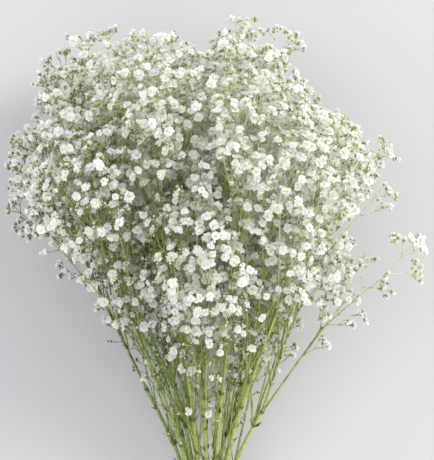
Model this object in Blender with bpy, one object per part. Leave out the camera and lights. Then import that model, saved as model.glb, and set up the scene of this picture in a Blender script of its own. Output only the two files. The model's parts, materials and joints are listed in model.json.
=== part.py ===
"""A bunch of cut gypsophila stems, lying on a table with its flower heads away from the cut ends.

Metres, +Z up. +Y runs along the bunch, from the cut ends to the flower heads, and +X to its right.
The origin is on the table, under the middle of the bunch's bounding box.

Each stem is one grown piece: a stalk that forks again and again, with a double floret at the end of
every twig. The twigs are thin closed tubes, each rooted in the node it forks from, and a Boolean union
makes one body of them.
"""

import numpy as np
import bpy

MM = 0.001

# The whole bunch. Its outermost clusters, listed further down, make it 320 mm wide.
LENGTH = 550 * MM
SEED = 217

# The stalks, packed side by side in rows at the bunch's waist
ROWS = (5, 6, 5)  # stalks in the bottom, middle and top row
STALK_R = 2.2 * MM
STALK_GAP = 0.5 * MM
STALK_SIDES = 6
BUNDLE_X = -7 * MM  # the middle of the bundle is this far to the side of the middle of the flower heads
WAIST_FROM_BUTT = 147 * MM
WAIST_BEND = 45 * MM  # how far past the waist a stalk's bend is drawn towards its old direction
BUTT_FAN = 0.9  # how much wider the bunch is at the cut ends than at the waist, as a share of its width
BUTT_STAGGER = 9 * MM
LOW_LEAN = 0.8  # how far the stalks lean out up to their first fork, over the lean of their heads

# How the bunch lies: the cut ends flat on the table, then a slow bend up towards the heads
FLAT_RUN = 34 * MM
BEND_RUN = 130 * MM
CLIMB = 0.27  # rise for each unit of length past the bend

# Middle (x, y, z) and half width, half length and half depth of each stem's flower head, in
# millimetres, bottom row first
HEADS = (
    (-100, 199, 54, 41, 48, 46),
    (-46, 124, 48, 53, 60, 42),
    (-21, 207, 52, 51, 61, 46),
    (39, 84, 40, 44, 61, 40),
    (70, 166, 56, 38, 51, 46),
    (-128, 155, 98, 36, 41, 42),
    (-86, 192, 102, 38, 46, 42),
    (-56, 93, 92, 44, 49, 42),
    (21, 226, 104, 33, 37, 44),
    (73, 168, 102, 40, 37, 42),
    (69, 86, 96, 48, 37, 40),
    (-99, 155, 146, 40, 63, 38),
    (-49, 211, 152, 43, 44, 40),
    (-14, 98, 144, 41, 57, 40),
    (20, 192, 154, 43, 52, 40),
    (55, 152, 148, 52, 49, 38),
)

# Clusters that stand out of the heads, or press on the table: the stem they grow on, and x, y, z in
# millimetres
STRAYS = (
    (0, -118, 166, 4.4),
    (1, -72, 92, 4.4),
    (2, 4, 150, 4.4),
    (3, 66, 78, 4.4),
    (4, 104, 170, 4.4),
    (6, -104, 258, 104),
    (8, 18, 271, 106),
    (8, 56, 260, 100),
    (9, 130, 172, 104),
    (5, -156, 150, 96),
    (5, -142, 126, 84),
    (5, -112, 76, 84),
    (10, 142, 104, 104),
    (10, 155.5, 98, 110),
    (10, 153, 80, 92),
    (10, 128, 68, 84),
    (13, -14, 6, 104),
    (13, -4, 24, 112),
    (13, 20, 34, 118),
    (13, -30, 40, 112),
)

# Flower clusters of each stem
CLUSTERS = 21
CLUSTERS_APART = 15 * MM
LOWEST_CLUSTER = 4.4 * MM  # pressed on the table

# Twigs and florets
FORK_R = 1.9 * MM  # the stalk's radius at its first fork
TWIG_R = 0.6 * MM
THINNING = 0.4  # a twig's radius goes with its share of the clusters, to this power
SUNK_ROOT = 0.8  # a side twig's radius at its root, in the middle of the node, over its own
SHARP_TURN = 0.25  # cosine of the turn past which a line of twigs is broken off
LONG_TWIG = 60 * MM  # from this length on, two straight pieces make a twig's bend
FLORET_R = 6.6 * MM
CALYX_DEPTH = 0.55  # all floret measures from here on are shares of its radius
CROWN_RISE = 0.5
PETALS = 5
NOTCH = 0.64
NOTCH_RISE = 0.16
PETAL_DROOP = 0.06
STEM_CLEARANCE = 0.4 * MM  # between one stem's twigs and another's

BUTT_Y = -LENGTH / 2
WAIST_Y = BUTT_Y + WAIST_FROM_BUTT
UP_THE_BUNCH = np.array((0, 1, CLIMB)) / np.hypot(1, CLIMB)


def length_of(vector):
    return np.sqrt((vector * vector).sum())


def unit(vector):
    return vector / length_of(vector)


def lying_height(y):
    """How far the bunch has risen from the table at this place along it."""
    run = max(y - BUTT_Y - FLAT_RUN, 0.0)
    if run < BEND_RUN:
        return CLIMB * run * run / (2 * BEND_RUN)
    return CLIMB * (run - BEND_RUN / 2)


def stalk_places():
    """The x and z of every stalk in the packed bundle, row by row. The bottom row lies on one flat side."""
    pitch = 2 * STALK_R + STALK_GAP
    lowest = STALK_R * np.cos(np.pi / STALK_SIDES)
    places = []
    for row, count in enumerate(ROWS):
        for i in range(count):
            x = BUNDLE_X + (i - (count - 1) / 2) * pitch
            places.append((x, lowest + row * pitch * np.sqrt(3) / 2))
    return places


def lean_of(stem):
    """How far a stem's head stands to the side, for each unit of its length above the waist."""
    x, y, *_ = HEADS[stem]
    return (x * MM - BUNDLE_X) / (y * MM - WAIST_Y)


def stems_in_slots():
    """(stem, x, z): in each row the stems stand from left to right by the way that they lean."""
    placed = []
    places = stalk_places()
    first = 0
    for count in ROWS:
        row = range(first, first + count)
        by_side = sorted(row, key=lean_of)
        for slot, stem in zip(row, by_side):
            placed.append((stem, *places[slot]))
        first += count
    return placed


def scatter_clusters():
    """The clusters' places, one array for each stem: its strays, then random points in its head."""
    strays = [[np.array(spot) * MM for stem, *spot in STRAYS if stem == k] for k in range(len(HEADS))]
    taken = [spot for spots in strays for spot in spots]
    spread = []
    for stem, head in enumerate(HEADS):
        draw = np.random.default_rng([SEED, stem])
        middle, half = np.array(head[:3]) * MM, np.array(head[3:]) * MM
        own = []
        while len(own) < CLUSTERS - len(strays[stem]):
            place = middle + half * unit(draw.normal(size=3)) * draw.uniform(0.1, 1.0) ** 0.42
            place[2] = max(place[2], LOWEST_CLUSTER)
            if ((np.array(taken) - place) ** 2).sum(1).min() > CLUSTERS_APART**2:
                own.append(place)
                taken.append(place)
        spread.append(np.array(strays[stem] + own))
    return spread


class Twig:
    """One stretch between two forks, or from a fork to a floret, with the clusters that it carries."""

    def __init__(self, start, end, heading, radius, carried, parent):
        self.start, self.end, self.heading, self.radius = start, end, heading, radius
        self.carried, self.parent, self.forks = carried, parent, []


def fork_groups(places, heading, draw):
    """Two groups of places, cut across the direction, of seven, in which they spread most."""
    side = unit(np.cross(heading, (0.13, 0.21, 1.0)))
    turns = np.arange(6) * np.pi / 6
    across = np.outer(np.cos(turns), side) + np.outer(np.sin(turns), np.cross(side, heading))
    along = (places - places.mean(0)) @ np.vstack([across, 0.8 * heading]).T
    order = np.argsort(along[:, np.argmax(along.std(0))], kind="stable")
    cut = round(len(places) * draw.uniform(0.35, 0.65))
    cut = min(max(cut, 1), len(places) - 1)
    return sorted((order[:cut], order[cut:]), key=len, reverse=True)


def grow(places, carried, start, heading, radius, parent, draw, twigs):
    """Grows a twig towards the middle of the places that it has to reach, then forks it in two."""
    way = places.mean(0) - start
    far = length_of(way)
    onward = way / far
    if len(places) == 1:
        end = places[0]
    else:
        share = draw.uniform(0.42, 0.58) if parent else draw.uniform(0.34, 0.48)
        nearest = ((places - start) @ onward).min() - 5 * MM
        end = start + onward * max(min(share * far, nearest), 7 * MM)
    twig = Twig(start, end, heading, radius, carried, parent)
    twigs.append(twig)
    if parent:
        parent.forks.append(twig)
    else:
        end[0] = start[0] + LOW_LEAN * (end[0] - start[0])
    if len(places) == 1:
        return
    for group in fork_groups(places, onward, draw):
        thinner = radius * (len(group) / len(places)) ** THINNING
        grow(places[group], carried[group], end, onward, thinner, twig, draw, twigs)


def bent_path(twig, pieces):
    """The twig's line: it leaves its fork a little wide, then bends back towards the way that it came."""
    chord = twig.end - twig.start
    wide = chord - twig.heading * (chord @ twig.heading)
    bend = twig.start + chord / 2 + 0.12 * wide
    t = np.linspace(0, 1, pieces + 1)[:, None]
    return (1 - t) ** 2 * twig.start + 2 * t * (1 - t) * bend + t**2 * twig.end


def stalk_path(x, z, stagger, first_fork):
    """From the cut end, through the waist, to the first fork."""
    below = np.linspace(BUTT_Y + stagger, WAIST_Y, 5)
    below[1] = BUTT_Y + FLAT_RUN
    points = []
    for y in below:
        spread = 1 + BUTT_FAN * ((WAIST_Y - y) / WAIST_FROM_BUTT) ** 2
        points.append((BUNDLE_X + (x - BUNDLE_X) * spread, y, z + lying_height(y)))
    waist = np.array(points[-1])
    t = np.linspace(0, 1, 4)[1:, None]
    above = (1 - t) ** 2 * waist + 2 * t * (1 - t) * (waist + WAIST_BEND * UP_THE_BUNCH) + t**2 * first_fork
    return np.vstack([points, above])


def grow_stems():
    """Every stem as (number, stalk path, twigs). The first twig's place is the stalk's own top stretch."""
    clusters = scatter_clusters()
    stems = []
    for stem, x, z in stems_in_slots():
        draw = np.random.default_rng([SEED, 100 + stem])
        stagger = draw.uniform(0, BUTT_STAGGER) if abs(x - BUNDLE_X) > STALK_R else 0.0
        waist = np.array((x, WAIST_Y, z + lying_height(WAIST_Y)))
        twigs = []
        grow(clusters[stem], np.arange(CLUSTERS), waist, UP_THE_BUNCH, FORK_R, None, draw, twigs)
        stems.append((stem, stalk_path(x, z, stagger, twigs[0].end), twigs))
    return stems


def pieces_of(twig):
    """How many straight pieces stand for a twig's bend."""
    return 1 if length_of(twig.end - twig.start) < LONG_TWIG else 2


def capsules(stems, kept):
    """Every straight piece that would be built, as (stem, twig, from, to, radius), florets included."""
    found = []
    for stem, stalk, twigs in stems:
        for a, b in zip(stalk[:-1], stalk[1:]):
            found.append((stem, twigs[0], a, b, STALK_R))
        for twig in twigs[1:]:
            if not kept[stem] & set(twig.carried):
                continue
            path = bent_path(twig, pieces_of(twig))
            for a, b in zip(path[:-1], path[1:]):
                found.append((stem, twig, a, b, max(twig.radius, TWIG_R)))
            if len(twig.carried) == 1:
                found.append((stem, twig, twig.end, twig.end, FLORET_R))
    return found


def line_distance(a, b, c, d):
    """Least distance between the lines a to b and c to d, row by row."""
    u, v, w = b - a, d - c, a - c
    uu, uv, vv = (u * u).sum(1), (u * v).sum(1), (v * v).sum(1)
    uw, vw = (u * w).sum(1), (v * w).sum(1)
    cross = uu * vv - uv * uv
    s = np.where(cross > 1e-14, (uv * vw - vv * uw) / np.maximum(cross, 1e-14), 0.0).clip(0, 1)
    t = np.where(vv > 1e-14, (uv * s + vw) / np.maximum(vv, 1e-14), 0.0).clip(0, 1)
    s = np.where(uu > 1e-14, (uv * t - uw) / np.maximum(uu, 1e-14), 0.0).clip(0, 1)
    apart = w + s[:, None] * u - t[:, None] * v
    return np.sqrt((apart * apart).sum(1))


def clear_crossings(stems, kept):
    """Leaves out the smaller of two twigs of different stems that would touch, until none do."""
    while True:
        found = capsules(stems, kept)
        owner = np.array([f[0] for f in found])
        start, end = np.array([f[2] for f in found]), np.array([f[3] for f in found])
        radius = np.array([f[4] for f in found])
        middle, reach = (start + end) / 2, np.sqrt(((end - start) ** 2).sum(1)) / 2 + radius
        first, second = np.triu_indices(len(found), 1)
        near = owner[first] != owner[second]
        first, second = first[near], second[near]
        gap = np.sqrt(((middle[first] - middle[second]) ** 2).sum(1)) - reach[first] - reach[second]
        first, second = first[gap < STEM_CLEARANCE], second[gap < STEM_CLEARANCE]
        gap = line_distance(start[first], end[first], start[second], end[second])
        gap -= radius[first] + radius[second]
        touching = [pair for pair in zip(first, second, gap) if pair[2] < STEM_CLEARANCE]
        changed = False
        for i, j, _ in touching:
            loads = [kept[found[n][0]] & set(found[n][1].carried) for n in (i, j)]
            if not all(loads):
                continue
            smaller = i if len(loads[0]) < len(loads[1]) else j
            if found[smaller][1].parent is None:
                continue
            kept[found[smaller][0]] -= set(found[smaller][1].carried)
            changed = True
        if not changed:
            return


def sides_of(radius):
    """Stalks have six sides, branches four and twigs three."""
    if radius > 1.6 * MM:
        return STALK_SIDES
    return 4 if radius > 1.1 * MM else 3


class Tube:
    """A closed tube built ring by ring, with the vertices and faces that it has so far."""

    def __init__(self):
        self.points, self.faces, self.white, self.last, self.side = [], [], [], None, None

    def ring(self, middle, along, radii, heights=None, white=False):
        """Adds a ring across `along` and joins it to the ring before, or caps it if it is the first."""
        if self.side is None:
            lean = (1.0, 0, 0) if abs(along[0]) < 0.7 else (0, 0, 1.0)
            self.side = np.array(lean)
        self.side = unit(self.side - along * (self.side @ along))
        up = np.cross(along, self.side)
        turns = np.arange(len(radii)) * 2 * np.pi / len(radii)
        lift = np.zeros(len(radii)) if heights is None else heights
        ring = middle + np.outer(np.cos(turns) * radii, self.side) + np.outer(np.sin(turns) * radii, up)
        ring = ring + np.outer(lift, along)
        ring[:, 2] = ring[:, 2].clip(min=0.0)
        first = len(self.points)
        self.points += list(ring)
        fresh = list(range(first, len(self.points)))
        if self.last is None:
            self.faces.append(fresh[::-1])
            self.white.append(white)
        else:
            self.stitch(self.last, fresh, white)
        self.last = fresh

    def stitch(self, old, new, white):
        """Triangles between two rings, which may differ in their number of points."""
        for i, here in enumerate(old):
            first, last = round(len(new) * i / len(old)), round(len(new) * (i + 1) / len(old))
            for j in range(first, last):
                self.faces.append((here, new[(j + 1) % len(new)], new[j]))
            self.faces.append((here, old[(i + 1) % len(old)], new[last % len(new)]))
            self.white += [white] * (last - first + 1)

    def tip(self, point, white=False):
        """Closes the last ring with a point."""
        self.points.append(point)
        top = len(self.points) - 1
        for i, here in enumerate(self.last):
            self.faces.append((here, self.last[(i + 1) % len(self.last)], top))
            self.white.append(white)


def add_floret(tube, middle, onward):
    """A floret on the tube's end: the rim of its rounded petals, with notches between, and its crown."""
    radii = np.tile((1.0, NOTCH), PETALS) * FLORET_R
    heights = np.tile((-PETAL_DROOP, NOTCH_RISE), PETALS) * FLORET_R
    tube.ring(middle, onward, radii, heights, white=True)
    crown = middle + CROWN_RISE * FLORET_R * onward
    crown[2] = max(crown[2], 0.0)
    tube.tip(crown, white=True)


def directions(path):
    """The way that each piece of a path points."""
    ways = np.diff(path, axis=0)
    return ways / np.sqrt((ways * ways).sum(1))[:, None]


def add_path(tube, path, radii, first=0):
    """Runs the tube along a path, from its point number `first`, and gives the way it points at the end."""
    ways = directions(path)
    for i in range(first, len(path)):
        along = unit(ways[max(i - 1, 0)] + ways[min(i, len(ways) - 1)])
        tube.ring(path[i], along, np.full(sides_of(radii[i]), radii[i]))
    return ways[-1]


def straightest_first(forks, onward):
    return sorted(forks, key=lambda fork: -(unit(fork.end - fork.start) @ onward))


def build_line(twig, tube, kept, waiting):
    """Follows a twig on through its forks to a floret. The other forks met on the way are left waiting."""
    while True:
        path = bent_path(twig, pieces_of(twig))
        radii = np.full(len(path), max(twig.radius, TWIG_R))
        forks = [fork for fork in twig.forks if kept & set(fork.carried)]
        if not forks:
            depth = min(CALYX_DEPTH * FLORET_R, length_of(path[-1] - path[-2]) / 2)
            path[-1] -= depth * directions(path)[-1]
        if not tube.last:
            radii[0] *= SUNK_ROOT
        onward = add_path(tube, path, radii, first=1 if tube.last else 0)
        if not forks:
            add_floret(tube, twig.end, onward)
            return
        forks = straightest_first(forks, onward)
        if unit(forks[0].end - forks[0].start) @ onward < SHARP_TURN:
            tube.tip(path[-1] + radii[-1] * onward)
            waiting += forks
            return
        waiting += forks[1:]
        twig = forks[0]


def tube_object(tube, name, materials):
    mesh = bpy.data.meshes.new(name)
    mesh.from_pydata([tuple(point) for point in tube.points], [], tube.faces)
    for material in materials:
        mesh.materials.append(material)
    mesh.polygons.foreach_set("material_index", np.array(tube.white, np.int32))
    mesh.update()
    return bpy.data.objects.new(name, mesh)


def plain_material(name, colour, roughness):
    material = bpy.data.materials.new(name)
    material.use_nodes = True
    shader = material.node_tree.nodes["Principled BSDF"]
    shader.inputs["Base Color"].default_value = (*colour, 1.0)
    shader.inputs["Roughness"].default_value = roughness
    shader.inputs["Metallic"].default_value = 0.0
    return material


def build_stem(stem, stalk, twigs, kept, materials):
    """One stem as one body: the stalk with its main line of twigs, and every side twig joined to it."""
    main = Tube()
    onward = add_path(main, stalk, np.linspace(STALK_R, FORK_R, len(stalk)))
    forks = [fork for fork in twigs[0].forks if kept & set(fork.carried)]
    first, *waiting = straightest_first(forks, onward)
    build_line(first, main, kept, waiting)
    body = tube_object(main, f"stem_{stem + 1:02d}", materials)
    bpy.context.scene.collection.objects.link(body)

    sides = bpy.data.collections.new(f"side_twigs_{stem + 1:02d}")
    bpy.context.scene.collection.children.link(sides)
    while waiting:
        tube = Tube()
        build_line(waiting.pop(0), tube, kept, waiting)
        sides.objects.link(tube_object(tube, f"twig_{stem + 1:02d}", materials))
    join = body.modifiers.new("join the side twigs", "BOOLEAN")
    join.operation, join.operand_type, join.solver = "UNION", "COLLECTION", "MANIFOLD"
    join.collection = sides
    bpy.context.view_layer.objects.active = body
    bpy.ops.object.modifier_apply(modifier=join.name)
    for twig in list(sides.objects):
        bpy.data.objects.remove(twig)
    bpy.data.collections.remove(sides)


def main():
    for thing in list(bpy.data.objects):
        bpy.data.objects.remove(thing)
    materials = (
        plain_material("stalk green", (0.25, 0.33, 0.10), 0.55),
        plain_material("petal white", (0.86, 0.87, 0.82), 0.7),
    )
    stems = grow_stems()
    kept = {stem: set(range(CLUSTERS)) for stem, _, _ in stems}
    clear_crossings(stems, kept)
    for stem, stalk, twigs in stems:
        build_stem(stem, stalk, twigs, kept[stem], materials)
        print(f"stem {stem + 1}: {len(kept[stem])} florets")


main()
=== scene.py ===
import json

import bpy
import numpy as np
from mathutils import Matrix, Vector

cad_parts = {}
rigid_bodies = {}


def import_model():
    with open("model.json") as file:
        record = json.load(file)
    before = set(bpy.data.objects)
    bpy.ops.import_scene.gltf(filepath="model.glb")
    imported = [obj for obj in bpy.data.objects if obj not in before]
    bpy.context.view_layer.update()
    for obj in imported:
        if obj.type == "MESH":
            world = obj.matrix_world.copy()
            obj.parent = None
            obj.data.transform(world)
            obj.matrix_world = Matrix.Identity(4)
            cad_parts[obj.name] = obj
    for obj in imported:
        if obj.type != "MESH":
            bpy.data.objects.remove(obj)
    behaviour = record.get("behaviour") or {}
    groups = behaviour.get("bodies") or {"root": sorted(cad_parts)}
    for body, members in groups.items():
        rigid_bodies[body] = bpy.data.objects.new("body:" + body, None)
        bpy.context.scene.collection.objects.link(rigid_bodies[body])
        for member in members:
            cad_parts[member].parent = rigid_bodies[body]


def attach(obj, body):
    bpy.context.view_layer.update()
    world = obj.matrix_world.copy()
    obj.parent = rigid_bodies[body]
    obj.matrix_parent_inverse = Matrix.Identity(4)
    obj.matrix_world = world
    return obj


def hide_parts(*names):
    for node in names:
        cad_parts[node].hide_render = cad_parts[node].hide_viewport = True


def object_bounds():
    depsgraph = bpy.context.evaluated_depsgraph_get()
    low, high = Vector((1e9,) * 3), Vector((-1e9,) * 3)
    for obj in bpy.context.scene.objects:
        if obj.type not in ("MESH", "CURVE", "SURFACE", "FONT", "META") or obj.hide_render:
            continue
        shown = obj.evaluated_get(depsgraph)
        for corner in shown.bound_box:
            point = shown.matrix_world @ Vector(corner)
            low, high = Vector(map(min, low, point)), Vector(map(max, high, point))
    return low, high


# A bunch of cut gypsophila, lying with its cut ends towards the bottom of the picture.
# The stalks, forks and clusters repeat the solids' growth rule.
# Finer twigs, florets and buds grow on from there.

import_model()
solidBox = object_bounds()
lowest, highest = (np.array(corner) for corner in solidBox)
mm = 0.001

bunch = {
    "length": 550 * mm,
    "seed": 217,
    "rows": (5, 6, 5),  # stalks in the bottom, middle and top row of the waist
    "stalkRadius": 2.2 * mm,
    "stalkGap": 0.5 * mm,
    "bundleX": -7 * mm,  # the middle of the bundle, to the side of the middle of the heads
    "waistFromButt": 147 * mm,  # where the stalks are held together
    "waistBend": 45 * mm,  # how far a stalk goes on straight above the waist
    "buttFan": 0.9,  # how much further apart the cut ends are than the waist
    "buttStagger": 9 * mm,  # how much shorter the shortest stalk is
    "lowLean": 0.8,  # how far to the side the first fork is, as a share of the way to its head
    "flatRun": 34 * mm,  # the stretch that lies flat, then the one that bends up
    "bendRun": 130 * mm,
    "climb": 0.27,  # the slope above that
    "clusters": 21,  # of each stem
    "clustersApart": 15 * mm,
    "lowestCluster": 4.4 * mm,
    "headFill": (0.1, 0.42),  # the least share from a head's middle, and the power that crowds its skin
    "firstFork": (0.34, 0.48),  # how far a stalk runs to the middle of its clusters before it forks
    "laterForks": (0.42, 0.58),
    "forkCut": (0.35, 0.65),  # the share of the clusters that goes one way at a fork
    "beforeCluster": 5 * mm,  # a fork is at least this far before the nearest of its clusters
    "shortestTwig": 7 * mm,
    "forkRadius": 1.9 * mm,  # of a stalk at its first fork
    "solidTwigRadius": 0.6 * mm,
    "solidThinning": 0.4,
    "longTwig": 60 * mm,
    "solidFloretRadius": 6.6 * mm,
    "clearance": 0.4 * mm,
}

# middle (x, y, z), half width, half length and half depth of each stem's flower head in mm, bottom row first
heads = (
    (-100, 199, 54, 41, 48, 46),
    (-46, 124, 48, 53, 60, 42),
    (-21, 207, 52, 51, 61, 46),
    (39, 84, 40, 44, 61, 40),
    (70, 166, 56, 38, 51, 46),
    (-128, 155, 98, 36, 41, 42),
    (-86, 192, 102, 38, 46, 42),
    (-56, 93, 92, 44, 49, 42),
    (21, 226, 104, 33, 37, 44),
    (73, 168, 102, 40, 37, 42),
    (69, 86, 96, 48, 37, 40),
    (-99, 155, 146, 40, 63, 38),
    (-49, 211, 152, 43, 44, 40),
    (-14, 98, 144, 41, 57, 40),
    (20, 192, 154, 43, 52, 40),
    (55, 152, 148, 52, 49, 38),
)

# clusters that stand out of the heads or press on the table: for some stems, x, y, z in mm
strays = {
    0: ((-118, 166, 4.4),),
    1: ((-72, 92, 4.4),),
    2: ((4, 150, 4.4),),
    3: ((66, 78, 4.4),),
    4: ((104, 170, 4.4),),
    5: ((-156, 150, 96), (-142, 126, 84), (-112, 76, 84)),
    6: ((-104, 258, 104),),
    8: ((18, 271, 106), (56, 260, 100)),
    9: ((130, 172, 104),),
    10: ((142, 104, 104), (155.5, 98, 110), (153, 80, 92), (128, 68, 84)),
    13: ((-14, 6, 104), (-4, 24, 112), (20, 34, 118), (-30, 40, 112)),
}

buttY = -bunch["length"] / 2
waistY = buttY + bunch["waistFromButt"]
upTheBunch = np.array((0, 1, bunch["climb"])) / np.hypot(1, bunch["climb"])


# length of a vector, or of each row of an array: the square root of the sum of squares
def lengthOf(vectors):
    return np.sqrt((vectors * vectors).sum(-1))


# the same directions at a length of 1
def unit(vectors):
    return vectors / lengthOf(vectors)[..., None]


# height of the bunch above the table at y: nothing, then a parabola, then a straight slope
def lyingHeight(y):
    run = np.maximum(y - buttY - bunch["flatRun"], 0)
    bend, climb = bunch["bendRun"], bunch["climb"]
    return np.where(run < bend, climb * run * run / (2 * bend), climb * (run - bend / 2))


# how far a stem's head stands to the side, for each unit of its length above the waist
def leanOf(stem):
    x, y, *_ = heads[stem]
    return (x * mm - bunch["bundleX"]) / (y * mm - waistY)


# (stem, x, z) at the waist: rows of stalks packed like honeycomb, in each row in the order that they lean
def stemsInSlots():
    pitch = 2 * bunch["stalkRadius"] + bunch["stalkGap"]
    placed, first = [], 0
    for row, count in enumerate(bunch["rows"]):
        stems = sorted(range(first, first + count), key=leanOf)
        for i, stem in enumerate(stems):
            z = bunch["stalkRadius"] * np.cos(np.pi / 6) + row * pitch * np.sqrt(3) / 2
            placed.append((stem, bunch["bundleX"] + (i - (count - 1) / 2) * pitch, z))
        first += count
    return placed


# every stem's cluster places: its strays, then random points in its head's ellipsoid, none too close
def scatterClusters():
    own = [[np.array(spot) * mm for spot in strays.get(stem, ())] for stem in range(len(heads))]
    taken = [spot for spots in own for spot in spots]
    for stem, head in enumerate(heads):
        draw = np.random.default_rng([bunch["seed"], stem])
        middle, half = np.array(head[:3]) * mm, np.array(head[3:]) * mm
        least, power = bunch["headFill"]
        while len(own[stem]) < bunch["clusters"]:
            place = middle + half * unit(draw.normal(size=3)) * draw.uniform(least, 1.0) ** power
            place[2] = max(place[2], bunch["lowestCluster"])
            if ((np.array(taken) - place) ** 2).sum(1).min() > bunch["clustersApart"] ** 2:
                own[stem].append(place)
                taken.append(place)
    return [np.array(spots) for spots in own]


# one stretch between two forks, or from a fork to a floret, with the clusters that it carries
class Twig:
    def __init__(self, start, end, heading, radius, carried, parent):
        self.start, self.end, self.heading, self.radius = start, end, heading, radius
        self.carried, self.parent = carried, parent


# two groups of places, cut across whichever of seven directions they spread in most
def forkGroups(places, heading, draw):
    side = unit(np.cross(heading, (0.13, 0.21, 1.0)))
    turns = np.arange(6) * np.pi / 6
    across = np.outer(np.cos(turns), side) + np.outer(np.sin(turns), np.cross(side, heading))
    along = (places - places.mean(0)) @ np.vstack([across, 0.8 * heading]).T
    order = np.argsort(along[:, np.argmax(along.std(0))], kind="stable")
    cut = round(len(places) * draw.uniform(*bunch["forkCut"]))
    cut = min(max(cut, 1), len(places) - 1)
    return sorted((order[:cut], order[cut:]), key=len, reverse=True)


# a twig runs part of the way to the middle of its places, then forks in two, down to single places
def grow(places, carried, start, heading, radius, parent, draw, twigs):
    way = places.mean(0) - start
    onward = way / lengthOf(way)
    if len(places) == 1:
        end = places[0]
    else:
        share = draw.uniform(*bunch["laterForks" if parent else "firstFork"])
        nearest = ((places - start) @ onward).min() - bunch["beforeCluster"]
        end = start + onward * max(min(share * lengthOf(way), nearest), bunch["shortestTwig"])
    twig = Twig(start, end, heading, radius, carried, parent)
    twigs.append(twig)
    if not parent:
        end[0] = start[0] + bunch["lowLean"] * (end[0] - start[0])
    if len(places) == 1:
        return
    for group in forkGroups(places, onward, draw):
        thinner = radius * (len(group) / len(places)) ** bunch["solidThinning"]
        grow(places[group], carried[group], end, onward, thinner, twig, draw, twigs)


# a quadratic curve's middle control point: the chord's middle, pushed a little wide of the old heading
def bendOf(twig):
    chord = twig.end - twig.start
    wide = chord - twig.heading * (chord @ twig.heading)
    return twig.start + chord / 2 + 0.12 * wide


# quadratic curves: (1-t)^2 a + 2t(1-t) b + t^2 c, for whole arrays of curves at once
def curvePoints(a, b, c, t):
    t = t[..., None]
    a, b, c = a[..., None, :], b[..., None, :], c[..., None, :]
    return (1 - t) ** 2 * a + 2 * t * (1 - t) * b + t**2 * c


# the point at t on one such curve
def pointOn(a, b, c, t):
    return curvePoints(a, b, c, np.array([t]))[0]


# a stalk from its cut end through the waist to its first fork: so many points up to the waist, and from there
def stalkPath(stem, below, above):
    x, z = stem["x"], stem["z"]
    y = np.linspace(buttY + stem["stagger"], waistY, below)
    if below == 5:  # as few as the solids have: one is where the bend starts
        y[1] = buttY + bunch["flatRun"]
    spread = 1 + bunch["buttFan"] * ((waistY - y) / bunch["waistFromButt"]) ** 2
    low = np.stack([bunch["bundleX"] + (x - bunch["bundleX"]) * spread, y, z + lyingHeight(y)], 1)
    bend = low[-1] + bunch["waistBend"] * upTheBunch
    high = curvePoints(low[-1], bend, stem["twigs"][0].end, np.linspace(0, 1, above)[1:])
    return np.vstack([low, high])


# every stem as its number, its place at the waist and its twigs, of which the first is its stalk
def growStems():
    clusters = scatterClusters()
    stems = []
    for stem, x, z in stemsInSlots():
        draw = np.random.default_rng([bunch["seed"], 100 + stem])
        away = abs(x - bunch["bundleX"])
        stagger = draw.uniform(0, bunch["buttStagger"]) if away > bunch["stalkRadius"] else 0.0
        waist = np.array((x, waistY, z + float(lyingHeight(waistY))))
        twigs = []
        carried = np.arange(bunch["clusters"])
        grow(clusters[stem], carried, waist, upTheBunch, bunch["forkRadius"], None, draw, twigs)
        stems.append({"number": stem, "x": x, "z": z, "stagger": stagger, "twigs": twigs})
    return stems


# the straight pieces that the solids are built from, as (stem, twig, from, to, radius)
def solidPieces(stems, kept):
    found = []
    for stem in stems:
        number, twigs = stem["number"], stem["twigs"]
        path = stalkPath(stem, 5, 4)
        for a, b in zip(path[:-1], path[1:]):
            found.append((number, twigs[0], a, b, bunch["stalkRadius"]))
        for twig in twigs[1:]:
            if not kept[number] & set(twig.carried):
                continue
            pieces = 1 if lengthOf(twig.end - twig.start) < bunch["longTwig"] else 2
            path = curvePoints(twig.start, bendOf(twig), twig.end, np.linspace(0, 1, pieces + 1))
            for a, b in zip(path[:-1], path[1:]):
                found.append((number, twig, a, b, max(twig.radius, bunch["solidTwigRadius"])))
            if len(twig.carried) == 1:
                found.append((number, twig, twig.end, twig.end, bunch["solidFloretRadius"]))
    return found


# least distance between the lines a to b and c to d, row by row
def lineDistance(a, b, c, d):
    u, v, w = b - a, d - c, a - c
    uu, uv, vv, uw, vw = (u * u).sum(1), (u * v).sum(1), (v * v).sum(1), (u * w).sum(1), (v * w).sum(1)
    cross = uu * vv - uv * uv
    s = np.where(cross > 1e-14, (uv * vw - vv * uw) / np.maximum(cross, 1e-14), 0.0).clip(0, 1)
    t = np.where(vv > 1e-14, (uv * s + vw) / np.maximum(vv, 1e-14), 0.0).clip(0, 1)
    s = np.where(uu > 1e-14, (uv * t - uw) / np.maximum(uu, 1e-14), 0.0).clip(0, 1)
    return lengthOf(w + s[:, None] * u - t[:, None] * v)


# of two twigs of different stems that would touch, the one with fewer clusters is left out
def clearCrossings(stems, kept):
    changed = True
    while changed:
        changed = False
        found = solidPieces(stems, kept)
        owner, radius = np.array([f[0] for f in found]), np.array([f[4] for f in found])
        start, end = np.array([f[2] for f in found]), np.array([f[3] for f in found])
        middle, reach = (start + end) / 2, lengthOf(end - start) / 2 + radius
        i, j = np.triu_indices(len(found), 1)
        i, j = i[owner[i] != owner[j]], j[owner[i] != owner[j]]
        near = lengthOf(middle[i] - middle[j]) - reach[i] - reach[j] < bunch["clearance"]
        i, j = i[near], j[near]
        gap = lineDistance(start[i], end[i], start[j], end[j]) - radius[i] - radius[j]
        for pair in zip(i[gap < bunch["clearance"]], j[gap < bunch["clearance"]]):
            loads = [kept[found[n][0]] & set(found[n][1].carried) for n in pair]
            if not all(loads):
                continue
            smaller = found[pair[0] if len(loads[0]) < len(loads[1]) else pair[1]]
            if smaller[1].parent:
                kept[smaller[0]] -= set(smaller[1].carried)
                changed = True


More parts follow.
